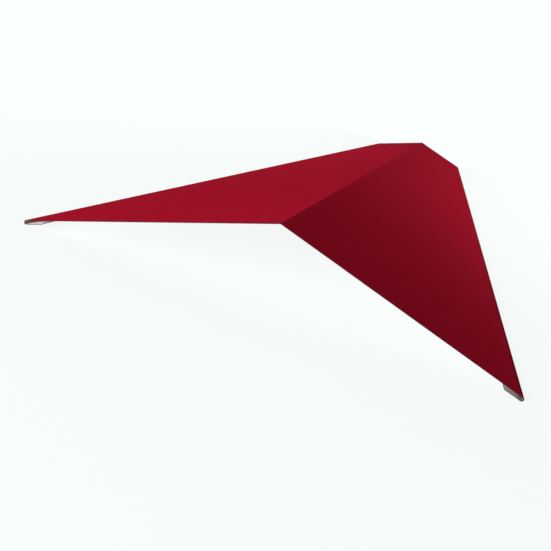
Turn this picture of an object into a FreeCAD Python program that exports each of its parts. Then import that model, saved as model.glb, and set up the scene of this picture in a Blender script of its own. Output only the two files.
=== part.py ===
import FreeCAD, Part
import math
import os
from FreeCAD import Vector

# Ridge cap for a sheet metal roof. It is one strip of coated steel, bent once along its
# middle and folded back under itself along both long edges as an open hem.
#
# Millimetres. +Y runs along the ridge, +X across it and +Z up. The cap stands on the
# folds of its two hems with the ridge uppermost, and the origin is on that floor,
# midway between the hems and midway along the length.

# Sizes that the maker sets
cap_length = 2000.0        # along the ridge
wing_width = 145.0         # painted face, from the ridge's sharp corner to the fold's outer end
ridge_angle = 145.0        # degrees between the two wings, measured underneath
sheet_thickness = 0.5      # steel with its coatings
ridge_bend_radius = 1.0    # inside the ridge bend
hem_gap = 1.5              # clear height inside the open hem
hem_return = 10.5          # how far the hem reaches back from the fold's outer end

# Sizes that follow from them
wing_slope = math.radians((180.0 - ridge_angle) / 2)
ridge_face_radius = ridge_bend_radius + sheet_thickness
hem_face_radius = hem_gap / 2 + sheet_thickness
wing_rise = (wing_width - hem_face_radius) * math.sin(wing_slope)
ridge_corner_height = wing_rise + hem_face_radius * (1 + math.cos(wing_slope))

# Directions on the right-hand wing, seen along the ridge
down_the_wing = Vector(math.cos(wing_slope), 0, -math.sin(wing_slope))
off_the_wing = Vector(math.sin(wing_slope), 0, math.cos(wing_slope))


def mirrored(point):
    return Vector(-point.x, point.y, point.z)


# The painted face's line from the ridge bend down one wing, round the fold and back
# along the hem, as the points where its straights and its half round begin and end.
def right_hand_points(start_y):
    ridge_corner = Vector(0, start_y, ridge_corner_height)
    bend_end = ridge_corner + down_the_wing * (ridge_face_radius * math.tan(wing_slope))
    fold_centre = (ridge_corner + down_the_wing * (wing_width - hem_face_radius)
                   - off_the_wing * hem_face_radius)
    fold_start = fold_centre + off_the_wing * hem_face_radius
    fold_tip = fold_centre + down_the_wing * hem_face_radius
    fold_end = fold_centre - off_the_wing * hem_face_radius
    free_edge = fold_end - down_the_wing * (hem_return - hem_face_radius)
    return [bend_end, fold_start, fold_tip, fold_end, free_edge]


# One side of that line: a straight, the fold's half round and another straight
def side_line(straight_start, arc_start, arc_middle, arc_end, straight_end):
    first = Part.LineSegment(straight_start, arc_start).toShape()
    fold = Part.Arc(arc_start, arc_middle, arc_end).toShape()
    last = Part.LineSegment(arc_end, straight_end).toShape()
    return [first, fold, last]


# The painted face's whole line across the cap, from the left free edge to the right one
def painted_line(start_y):
    right = right_hand_points(start_y)
    left = [mirrored(point) for point in reversed(right)]
    bend_start, bend_end = left[-1], right[0]
    bend_centre = bend_end - off_the_wing * ridge_face_radius
    bend_top = bend_centre + Vector(0, 0, ridge_face_radius)
    ridge_bend = Part.Arc(bend_start, bend_top, bend_end).toShape()
    return Part.Wire(side_line(*left) + [ridge_bend] + side_line(*right))


# The sheet's section: the space between the painted line and the same line set in by
# the thickness, cut square at both free edges
def sheet_section(line):
    round_corners, filled, square_ends = 0, True, True
    return line.makeOffset2D(-sheet_thickness, round_corners, filled, square_ends)


def ridge_cap():
    line = painted_line(-cap_length / 2)
    return sheet_section(line).extrude(Vector(0, cap_length, 0))


# Width of flat strip that the cap is bent from, along the middle of the sheet
def strip_width():
    return sheet_section(painted_line(0)).Area / sheet_thickness


cap = ridge_cap()
box = cap.BoundBox
print("ridge cap", round(box.XLength, 2), "x", round(box.YLength, 2), "x", round(box.ZLength, 2), "mm")
print("flat strip", round(strip_width(), 2), "mm wide, one solid:", cap.isValid() and len(cap.Solids) == 1)

os.makedirs("parts", exist_ok=True)
cap.exportStep("parts/ridge_cap.step")
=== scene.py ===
import math

import bpy
from mathutils import Matrix, Vector


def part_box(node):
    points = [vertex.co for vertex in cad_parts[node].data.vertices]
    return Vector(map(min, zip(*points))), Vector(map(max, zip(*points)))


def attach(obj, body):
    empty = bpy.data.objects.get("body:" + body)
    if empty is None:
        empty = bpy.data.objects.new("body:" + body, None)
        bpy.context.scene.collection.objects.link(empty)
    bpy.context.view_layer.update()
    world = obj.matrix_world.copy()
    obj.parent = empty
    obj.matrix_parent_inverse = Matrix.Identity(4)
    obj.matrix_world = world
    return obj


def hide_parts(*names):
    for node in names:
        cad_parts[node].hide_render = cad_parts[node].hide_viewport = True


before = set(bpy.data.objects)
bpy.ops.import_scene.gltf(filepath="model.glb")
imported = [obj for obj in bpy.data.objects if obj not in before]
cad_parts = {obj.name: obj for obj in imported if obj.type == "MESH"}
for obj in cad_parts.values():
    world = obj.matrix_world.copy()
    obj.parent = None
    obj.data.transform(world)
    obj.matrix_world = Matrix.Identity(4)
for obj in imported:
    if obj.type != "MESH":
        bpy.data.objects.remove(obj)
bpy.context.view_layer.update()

# A roof ridge cap: one strip of coated steel sheet, bent along its middle and hemmed along
# both long edges. The folded sheet is modelled here at its real thickness, with a matt ruby
# topcoat outside, a light grey back coat inside and a sheared edge all round.
# Metres. The ridge runs along Y and the camera stands at the near end, on the -Y side.

capLow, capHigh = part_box("ridge_cap")


# Small helpers for objects and node trees

noiseMiddle = (0.3, 0.7)    # a noise texture's values mostly lie between these
mixSockets = {"factor": 0, "first": 6, "second": 7, "result": 2}    # of a Mix node set to colour


def linkObject(name, data):
    thing = bpy.data.objects.new(name, data)
    bpy.context.scene.collection.objects.link(thing)
    return thing


def newMaterial(name):
    material = bpy.data.materials.new(name)
    material.use_nodes = True
    tree = material.node_tree
    return material, tree, tree.nodes["Principled BSDF"]


def emptyTree(holder):
    # The node tree of a material or the world, without the nodes that it starts with
    holder.use_nodes = True
    holder.node_tree.nodes.clear()
    return holder.node_tree


def addNode(tree, kind, inputs=None, **settings):
    node = tree.nodes.new(kind)
    for setting, value in settings.items():
        setattr(node, setting, value)
    for socket, value in (inputs or {}).items():
        if isinstance(value, bpy.types.NodeSocket):
            tree.links.new(value, node.inputs[socket])
        else:
            node.inputs[socket].default_value = value
    return node


def objectPlace(tree):
    return addNode(tree, "ShaderNodeTexCoord").outputs["Object"]


def sheetValue(tree, name):
    return addNode(tree, "ShaderNodeAttribute", attribute_name=name).outputs["Fac"]


def compute(tree, operation, *values):
    return addNode(tree, "ShaderNodeMath", dict(enumerate(values)), operation=operation).outputs[0]


def remap(tree, value, low, high, toLow=0.0, toHigh=1.0, curve="LINEAR"):
    settings = {"Value": value, "From Min": low, "From Max": high, "To Min": toLow, "To Max": toHigh}
    return addNode(tree, "ShaderNodeMapRange", settings, interpolation_type=curve).outputs["Result"]


def noiseOn(tree, place, size, stretch=(1, 1, 1), detail=2):
    # Noise with a grain of about size metres, drawn out along an axis where stretch is small
    mapping = addNode(tree, "ShaderNodeMapping", {"Vector": place, "Scale": stretch})
    settings = {"Vector": mapping.outputs[0], "Scale": 1 / size, "Detail": detail}
    return addNode(tree, "ShaderNodeTexNoise", settings).outputs["Fac"]


def spreadNoise(tree, noise, low=0.0, high=1.0):
    return remap(tree, noise, *noiseMiddle, low, high)


def mixColour(tree, factor, first, second):
    def colour(value):
        return value if isinstance(value, bpy.types.NodeSocket) else (*value, 1)
    at = mixSockets
    inputs = {at["factor"]: factor, at["first"]: colour(first), at["second"]: colour(second)}
    return addNode(tree, "ShaderNodeMix", inputs, data_type="RGBA").outputs[at["result"]]


def mixShader(tree, factor, first, second):
    inputs = {0: factor, 1: first.outputs[0], 2: second.outputs[0]}
    return addNode(tree, "ShaderNodeMixShader", inputs)


# The folded sheet

foldedSheet = {
    "wingWidth": 0.145,         # ridge corner to the fold's outer end, on the painted face
    "ridgeAngle": 145.0,        # degrees between the wings, underneath
    "thickness": 0.0005,
    "ridgeRadius": 0.0010,      # inside the ridge bend
    "hemGap": 0.0015,           # clear height inside the open hem
    "hemReturn": 0.0105,        # from the fold's outer end back to the free edge
    "ridgeSteps": 8,            # facets round the ridge bend
    "foldSteps": 24,            # facets round each hem fold
    "wingColumns": 10,          # faces across a wing
    "hemColumns": 3,            # and across a hem
    "lengthRows": 48,
    "freeEdgeRounding": 0.00008,    # shearing leaves the corners of the sheet a little round
    "endRounding": 0.00005,
    "roundingSteps": 3,
}
coatSlots = {"topcoat": 0, "backCoat": 1}
shearedSlot = 2                 # every other kind of face


def wingSlope():
    return math.radians(180 - foldedSheet["ridgeAngle"]) / 2


def bendingPlan():
    # Flats and bends in order across the strip, from one free edge to the other, as they
    # are measured on the painted face: kind, length or turn, face radius, number of steps
    c = foldedSheet
    slope = wingSlope()
    ridgeFace = c["ridgeRadius"] + c["thickness"]
    foldFace = c["hemGap"] / 2 + c["thickness"]
    hem = ("flat", c["hemReturn"] - foldFace, 0, c["hemColumns"])
    fold = ("fold", math.pi, foldFace, c["foldSteps"])
    wing = ("flat", c["wingWidth"] - foldFace - ridgeFace * math.tan(slope), 0, c["wingColumns"])
    ridge = ("ridge", 2 * slope, ridgeFace, c["ridgeSteps"])
    return [hem, fold, wing, ridge, wing, fold, hem]


def walkAcross():
    # Walks the painted face across the strip. Each stop has its place, the heading there and
    # the distance walked
    heading = math.pi + wingSlope()
    x = z = walked = 0.0
    stops = [(x, z, heading, walked)]
    for kind, size, radius, steps in bendingPlan():
        for step in range(steps):
            turn = 0.0 if kind == "flat" else size / steps
            chord = size / steps if kind == "flat" else 2 * radius * math.sin(turn / 2)
            x += chord * math.cos(heading - turn / 2)
            z += chord * math.sin(heading - turn / 2)
            heading -= turn
            walked += size / steps if kind == "flat" else radius * turn
            stops.append((x, z, heading, walked))
    return stops


def stripWidth():
    # From free edge to free edge, along the painted face
    return walkAcross()[-1][3]


def foldSpan():
    # Where a hem's fold starts and ends, across the strip from its free edge
    start = bendingPlan()[0][1]
    turn, radius = bendingPlan()[1][1:3]
    return start, start + turn * radius


def sectionLoop(stops, inset):
    # The closed outline of the sheet's section, drawn in by inset on every side: painted
    # face, right free edge, back face, left free edge. Each point has its place, its
    # distance across the strip, and its depth in the sheet from 0 to 1
    thickness, radius = foldedSheet["thickness"], foldedSheet["freeEdgeRounding"]
    steps = foldedSheet["roundingSteps"]
    toFlat = [math.pi / 2 * step / steps for step in range(steps + 1)]
    toEdge = toFlat[::-1]

    def point(stop, ahead, deep):
        x, z, heading, walked = stop
        cos, sin = math.cos(heading), math.sin(heading)
        place = (x + cos * ahead + sin * deep, z + sin * ahead - cos * deep)
        return *place, walked + ahead, deep / thickness

    def corner(stop, outward, deepCentre, side, angles):
        # A quarter round, outward along or against the walk, towards one face or the other
        small = radius - inset
        ahead = [outward * (small * math.cos(angle) - radius) for angle in angles]
        deep = [deepCentre + side * small * math.sin(angle) for angle in angles]
        return [point(stop, *reach) for reach in zip(ahead, deep)]

    loop = [point(stop, 0, inset) for stop in stops[1:-1]]
    loop += corner(stops[-1], 1, radius, -1, toEdge)
    loop += corner(stops[-1], 1, thickness - radius, 1, toFlat)
    loop += [point(stop, 0, thickness - inset) for stop in stops[-2:0:-1]]
    loop += corner(stops[0], -1, thickness - radius, 1, toEdge)
    loop += corner(stops[0], -1, radius, -1, toFlat)
    return loop


def lengthStations():
    # Stations along the ridge, each with its inset: an even spread and a rounding at each end
    radius, steps = foldedSheet["endRounding"], foldedSheet["roundingSteps"]
    rows = foldedSheet["lengthRows"]
    near, far = capLow.y + radius, capHigh.y - radius
    angles = [math.pi / 2 * step / steps for step in range(1, steps + 1)]
    rounding = [(radius * math.sin(angle), radius * (1 - math.cos(angle))) for angle in angles]
    stations = [(near - out, inset) for out, inset in reversed(rounding)]
    stations += [(near + (far - near) * row / rows, 0.0) for row in range(rows + 1)]
    stations += [(far + out, inset) for out, inset in rounding]
    return stations


def placePoints(stops, stations):
    # The section at every station, seated in the CAD part's own box
    xs, zs = list(zip(*sectionLoop(stops, 0)))[:2]
    fitX = (capHigh.x - capLow.x) / (max(xs) - min(xs))
    fitZ = (capHigh.z - capLow.z) / (max(zs) - min(zs))
    points, walked, depth = [], [], []
    for y, inset in stations:
        for x, z, across, deep in sectionLoop(stops, inset):
            points.append((capLow.x + (x - min(xs)) * fitX, y, capLow.z + (z - min(zs)) * fitZ))
            walked.append(across)
            depth.append(deep)
    return points, walked, depth


def layFaces(stops, stations):
    columns = len(stops) - 2                        # points on each face of the sheet
    edge = 2 * (foldedSheet["roundingSteps"] + 1)   # points on each free edge
    count = 2 * (columns + edge)
    # The kind of the face that starts at each point of the section
    around = ["topcoat"] * columns + ["rightEdge"] * (edge - 1)
    around += ["backCoat"] * (columns + 1) + ["leftEdge"] * (edge - 1) + ["topcoat"]
    faces, kinds = [], []
    for row in range(len(stations) - 1):
        # The inset falls along the rounding of the near end and grows along that of the far end
        inset, nextInset = stations[row][1], stations[row + 1][1]
        rounding = "nearEnd" if inset > nextInset else "farEnd" if inset < nextInset else None
        for i in range(count):
            a, b = row * count + i, row * count + (i + 1) % count
            faces.append([a, b, b + count, a + count])
            kinds.append(rounding or around[i])

    # Each end is closed by a strip of faces from the painted line to the back line
    half = edge // 2
    painted = [*range(count - half, count), *range(columns + half)]
    back = range(count - half - 1, columns + half - 1, -1)
    last = (len(stations) - 1) * count
    for base, kind, order in ((0, "nearEnd", 1), (last, "farEnd", -1)):
        for a, b, c, d in zip(painted, back, back[1:], painted[1:]):
            faces.append([base + a, base + b, base + c, base + d][::order])
            kinds.append(kind)
    return faces, kinds


# Where each kind of face lies on the unrolled map, across it: both faces of the strip side
# by side, then its four sheared edges. The other way is the length, or the width for an end
unrolledMap = {
    "topcoat": (0.004, 0.560),
    "backCoat": (0.566, 0.950),
    "rightEdge": (0.956, 0.964),
    "leftEdge": (0.967, 0.975),
    "nearEnd": (0.978, 0.986),
    "farEnd": (0.989, 0.997),
    "margin": 0.004,
}


def unrollStrip(mesh, kinds, points, walked, depth):
    # The strip laid flat, as a map for baking the finishes
    margin, width = unrolledMap["margin"], stripWidth()
    unrolled = mesh.uv_layers.new(name="OFBake")
    for face, kind in zip(mesh.polygons, kinds):
        low, high = unrolledMap[kind]
        for corner in face.loop_indices:
            v = mesh.loops[corner].vertex_index
            lengthways = (points[v][1] - capLow.y) / (capHigh.y - capLow.y)
            crossways = walked[v] / width
            across = crossways if kind in coatSlots else depth[v]
            up = crossways if kind.endswith("End") else lengthways
            unrolled.data[corner].uv = (low + (high - low) * across, margin + (1 - 2 * margin) * up)


def buildFoldedSheet():
    stops, stations = walkAcross(), lengthStations()
    points, walked, depth = placePoints(stops, stations)
    faces, kinds = layFaces(stops, stations)
    mesh = bpy.data.meshes.new("foldedSheet")
    mesh.from_pydata(points, [], faces)
    slots = [coatSlots.get(kind, shearedSlot) for kind in kinds]
    mesh.polygons.foreach_set("material_index", slots)
    mesh.polygons.foreach_set("use_smooth", [True] * len(faces))
    for name, values in (("acrossStrip", walked), ("sheetDepth", depth)):
        mesh.attributes.new(name, "FLOAT", "POINT").data.foreach_set("value", values)
    unrollStrip(mesh, kinds, points, walked, depth)
    mesh.validate()
    mesh.update()
    piece = linkObject("foldedSheet", mesh)
    piece.modifiers.new("evenShading", "WEIGHTED_NORMAL")
    return piece


sheet = buildFoldedSheet()
print("folded sheet:", len(sheet.data.vertices), "points,", len(sheet.data.polygons), "faces")


# Finishes. A noise's size is in metres

def fromFreeEdge(tree):
    # Distance across the strip to the nearer of its two free edges
    across = sheetValue(tree, "acrossStrip")
    return compute(tree, "MINIMUM", across, compute(tree, "SUBTRACT", stripWidth(), across))


def nearFold(tree, near, far):
    # 1 within near metres of the middle of a hem fold, falling to 0 at far
    middle = sum(foldSpan()) / 2
    away = compute(tree, "ABSOLUTE", compute(tree, "SUBTRACT", fromFreeEdge(tree), middle))
    return remap(tree, away, near, far, 1.0, 0.0, "SMOOTHSTEP")


rubyTopcoat = {
    "colour": (0.305, 0.0040, 0.0172),
    "paler": (0.319, 0.0048, 0.0187),
    "drift": {"size": 0.11, "stretch": (1, 0.35, 1), "detail": 3},      # from one to the other
    "paintedFoldShade": (0.100, 0.0016, 0.0066),      # painted shade along the outside of each hem fold
    "foldShadeReach": (0.0012, 0.0042),              # metres from the fold's middle, dark to plain
    "roughness": (0.82, 0.88),
    "specular": 0.001,
    "grain": {"size": 0.0016},                  # fine texture of the matt coating
    "grainHeight": 0.00016,                     # metres, for noise from 0 to 1
    "peel": {"size": 0.0060},                   # and its wider waves
    "peelHeight": 0.00040,
}


def makeTopcoat():
    c = rubyTopcoat
    material, tree, shader = newMaterial("rubyTopcoat")
    place = objectPlace(tree)
    drift = spreadNoise(tree, noiseOn(tree, place, **c["drift"]))
    flat = mixColour(tree, drift, c["colour"], c["paler"])
    # Painted shade: the topcoat is darkened towards the middle of each hem fold
    drawn = nearFold(tree, *c["foldShadeReach"])
    tree.links.new(mixColour(tree, drawn, flat, c["paintedFoldShade"]), shader.inputs["Base Color"])
    grain = noiseOn(tree, place, **c["grain"])
    tree.links.new(spreadNoise(tree, grain, *c["roughness"]), shader.inputs["Roughness"])
    shader.inputs["Specular IOR Level"].default_value = c["specular"]
    peel = {"Height": noiseOn(tree, place, **c["peel"]), "Distance": c["peelHeight"]}
    waves = addNode(tree, "ShaderNodeBump", peel)
    texture = {"Height": grain, "Distance": c["grainHeight"], "Normal": waves.outputs[0]}
    grained = addNode(tree, "ShaderNodeBump", texture)
    tree.links.new(grained.outputs[0], shader.inputs["Normal"])
    return material


greyBackCoat = {
    "colour": (0.69, 0.638, 0.628),
    "darker": (0.64, 0.590, 0.580),
    "streaks": {"size": 0.004, "stretch": (1, 0.012, 1), "detail": 4},  # left by the rolling
    "paintedFoldShade": (0.14, 0.115, 0.115),         # painted shade inside each hem fold
    "foldShadeReach": (0.0008, 0.0038),
    "roughness": (0.55, 0.66),
    "mottle": {"size": 0.003, "stretch": (1, 0.5, 1), "detail": 3},     # of the roughness
    "specular": 0.2,
}


def makeBackCoat():
    c = greyBackCoat
    material, tree, shader = newMaterial("greyBackCoat")
    place = objectPlace(tree)
    streaks = spreadNoise(tree, noiseOn(tree, place, **c["streaks"]))
    flat = mixColour(tree, streaks, c["colour"], c["darker"])
    # Painted shade: the back coat is darkened towards the middle of each hem fold
    paintedHemShade = nearFold(tree, *c["foldShadeReach"])
    tree.links.new(mixColour(tree, paintedHemShade, flat, c["paintedFoldShade"]), shader.inputs["Base Color"])
    mottle = noiseOn(tree, place, **c["mottle"])
    tree.links.new(spreadNoise(tree, mottle, *c["roughness"]), shader.inputs["Roughness"])
    shader.inputs["Specular IOR Level"].default_value = c["specular"]
    return material


shearedEdge = {
    # Both colours are darker than the real paint and steel, as painted shade on the sheared edges;
    # the paint drawn over the edge by the shear is real
    "drawnPaintShaded": (0.048, 0.0030, 0.0065),
    "steel": (0.045, 0.040, 0.040),
    "paintOnWing": 0.92,        # share of the thickness that the drawn paint covers
    "paintOnHem": 0.15,
    "shareChange": 0.001,       # metres either side of the fold's start, from one to the other
    "tear": {"size": 0.0006, "detail": 3},
    "tearHeight": 0.12,         # how far the paint's edge wanders, as a share of the thickness
    "tearBlend": 0.06,          # and how far it fades to steel, either way
    "roughness": 0.6,
    "specular": 0.08,
}


def makeShearedEdge():
    c = shearedEdge
    material, tree, shader = newMaterial("shearedEdge")
    tear = noiseOn(tree, objectPlace(tree), **c["tear"])
    torn = spreadNoise(tree, tear, -c["tearHeight"], c["tearHeight"])
    foldStart = foldSpan()[0]
    change = (foldStart - c["shareChange"], foldStart + c["shareChange"])
    painted = remap(tree, fromFreeEdge(tree), *change, c["paintOnHem"], c["paintOnWing"])
    depth = compute(tree, "ADD", sheetValue(tree, "sheetDepth"), torn)
    past = compute(tree, "SUBTRACT", depth, painted)
    bare = remap(tree, past, -c["tearBlend"], c["tearBlend"])
    # Painted shade: the drawn paint and the steel are both darkened
    tree.links.new(mixColour(tree, bare, c["drawnPaintShaded"], c["steel"]), shader.inputs["Base Color"])
    shader.inputs["Roughness"].default_value = c["roughness"]
    shader.inputs["Specular IOR Level"].default_value = c["specular"]
    return material


for finish in (makeTopcoat(), makeBackCoat(), makeShearedEdge()):
    sheet.data.materials.append(finish)
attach(sheet, "root")
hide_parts("ridge_cap")
print("finishes:", [finish.name for finish in sheet.data.materials])


# Floor and surroundings

studio = {
    "backdrop": (0.9647, 1.0, 0.9911),
    "floorColour": (0.80, 0.83, 0.82),
    "floorReach": 40.0,
    "floorDrop": 0.00005,       # keeps the floor just clear of the cap
    "shadowShare": 0.12,        # how much of the floor's look is its own lit shade
    "shadeEnds": (0.15, 0.50),  # metres from the ridge over which the floor turns to plain backdrop
    "wallTop": (0.20, 0.42),    # sines of the elevations where the white walls fade to the ceiling
    "ceiling": 0.02,            # what the ceiling adds to the lamps' light
}


def seenDirectly(tree):
    # 1 for what the camera sees, also by way of a mirror or glass, and 0 for lighting
    rays = addNode(tree, "ShaderNodeLightPath").outputs
    passedOn = compute(tree, "MAXIMUM", rays["Is Glossy Ray"], rays["Is Transmission Ray"])
    return compute(tree, "MAXIMUM", rays["Is Camera Ray"], passedOn)


def makeFloorFinish():
    c = studio
    material = bpy.data.materials.new("paleFloor")
    tree = emptyTree(material)
    lit = addNode(tree, "ShaderNodeBsdfDiffuse", {"Color": (*c["floorColour"], 1)})
    white = addNode(tree, "ShaderNodeEmission", {"Color": (*c["backdrop"], 1), "Strength": 1.0})
    place = addNode(tree, "ShaderNodeSeparateXYZ", {0: objectPlace(tree)}).outputs
    beyondEnd = compute(tree, "SUBTRACT", compute(tree, "ABSOLUTE", place["Y"]), capHigh.y)
    fromRidge = {"X": place["X"], "Y": compute(tree, "MAXIMUM", beyondEnd, 0.0)}
    away = addNode(tree, "ShaderNodeCombineXYZ", fromRidge).outputs[0]
    distance = addNode(tree, "ShaderNodeVectorMath", {0: away}, operation="LENGTH").outputs["Value"]
    plain = remap(tree, distance, *c["shadeEnds"], 1 - c["shadowShare"], 1.0, "SMOOTHSTEP")
    look = mixShader(tree, compute(tree, "MULTIPLY", seenDirectly(tree), plain), lit, white)
    # From below the floor is clear, so that the underside can be looked at
    behind = addNode(tree, "ShaderNodeNewGeometry").outputs["Backfacing"]
    oneSided = mixShader(tree, behind, look, addNode(tree, "ShaderNodeBsdfTransparent"))
    addNode(tree, "ShaderNodeOutputMaterial", {"Surface": oneSided.outputs[0]})
    return material


def makeFloor():
    reach = studio["floorReach"]
    corners = [(x * reach, y * reach, 0) for x, y in ((-1, -1), (1, -1), (1, 1), (-1, 1))]
    mesh = bpy.data.meshes.new("studioFloor")
    mesh.from_pydata(corners, [], [(0, 1, 2, 3)])
    mesh.materials.append(makeFloorFinish())
    floor = linkObject("studioFloor", mesh)
    floor.location.z = capLow.z - studio["floorDrop"]


def makeWorld():
    c = studio
    world = bpy.data.worlds.new("studioWorld")
    tree = emptyTree(world)
    direction = addNode(tree, "ShaderNodeTexCoord").outputs["Generated"]
    height = addNode(tree, "ShaderNodeSeparateXYZ", {0: direction}).outputs["Z"]
    level = remap(tree, height, *c["wallTop"], 1.0, c["ceiling"], "SMOOTHSTEP")
    colour = (*c["backdrop"], 1)
    walls = addNode(tree, "ShaderNodeBackground", {"Color": colour, "Strength": level})
    white = addNode(tree, "ShaderNodeBackground", {"Color": colour, "Strength": 1.0})
    look = mixShader(tree, seenDirectly(tree), walls, white)
    addNode(tree, "ShaderNodeOutputWorld", {"Surface": look.outputs[0]})
    bpy.context.scene.world = world


makeFloor()
makeWorld()


# Lamps, with their power in watts

softboxes = {
    "leftStrip": {
        "place": (-0.81, 0.34, 0.30), "aim": (0, 0.34, 0.02),
        "wide": 0.25, "long": 1.96, "power": 10.2,
    },
    "rightStrip": {
        "place": (0.458, 0.706, 0.30), "aim": (0, 0.706, 0.02),
        "wide": 0.25, "long": 3.0, "power": 7.8,
    },
    "frontBox": {
        "place": (-0.62, -2.25, 0.285), "aim": (0, -0.8, 0.02),
        "wide": 0.5, "long": 0.7, "power": 49.5,
    },
    # On the floor under the cap, for the back coat
    "underPanel": {
        "place": (0, 0, 0.0002), "aim": (0, 0, 1),
        "wide": 0.25, "long": 1.96, "power": 0.65,
    },
    # Under the left wing, shining down along it into the open hem
    "hemStrip": {
        "place": (-0.060, 0, 0.0200), "aim": (-0.130, 0, 0.0040),
        "wide": 0.002, "long": 1.996, "power": 0.17, "spread": 8,
    },
}


def hangSoftbox(name, place, aim, wide, long, power, spread=180):
    # The long side lies level and square to the aim, or along the ridge where the aim is upright
    lamp = bpy.data.lights.new(name, "AREA")
    lamp.shape = "RECTANGLE"
    lamp.size, lamp.size_y = wide, long
    lamp.energy = power
    lamp.spread = math.radians(spread)
    box = linkObject(name, lamp)
    facing = (Vector(place) - Vector(aim)).normalized()
    level = Vector((-facing.y, facing.x, 0))
    along = level.normalized() if level.length > 0 else Vector((0, 1, 0))
    side = along.cross(facing)
    turned = Matrix((side, along, facing)).transposed().to_4x4()
    box.matrix_world = Matrix.Translation(place) @ turned
    box.visible_camera = False
    box.visible_glossy = False


for name, settings in softboxes.items():
    hangSoftbox(name, **settings)


# Camera

cameraStand = {
    "place": (0.06147, -1.31972, 0.11125),
    "turn": 10.044,             # degrees to the left of straight along the ridge
    "tilt": -15.820,            # degrees, looking down
    "roll": 16.384,             # degrees, leaning to the left
    "lens": 43.661,             # millimetres, as the sensor's width is
    "sensor": 36.0,
    "nearest": 0.01,
    "farthest": 200.0,
}


def setCamera():
    c = cameraStand
    camera = linkObject("camera", bpy.data.cameras.new("camera"))
    camera.data.sensor_width = c["sensor"]
    camera.data.lens = c["lens"]
    camera.data.clip_start = c["nearest"]
    camera.data.clip_end = c["farthest"]
    turned = Matrix.Rotation(math.radians(c["turn"]), 4, "Z")
    tilted = turned @ Matrix.Rotation(math.radians(90 + c["tilt"]), 4, "X")
    rolled = tilted @ Matrix.Rotation(math.radians(c["roll"]), 4, "Z")
    camera.matrix_world = Matrix.Translation(c["place"]) @ rolled
    bpy.context.scene.camera = camera


setCamera()
bpy.context.scene.view_settings.view_transform = "Standard"
print("studio, lamps and camera set")
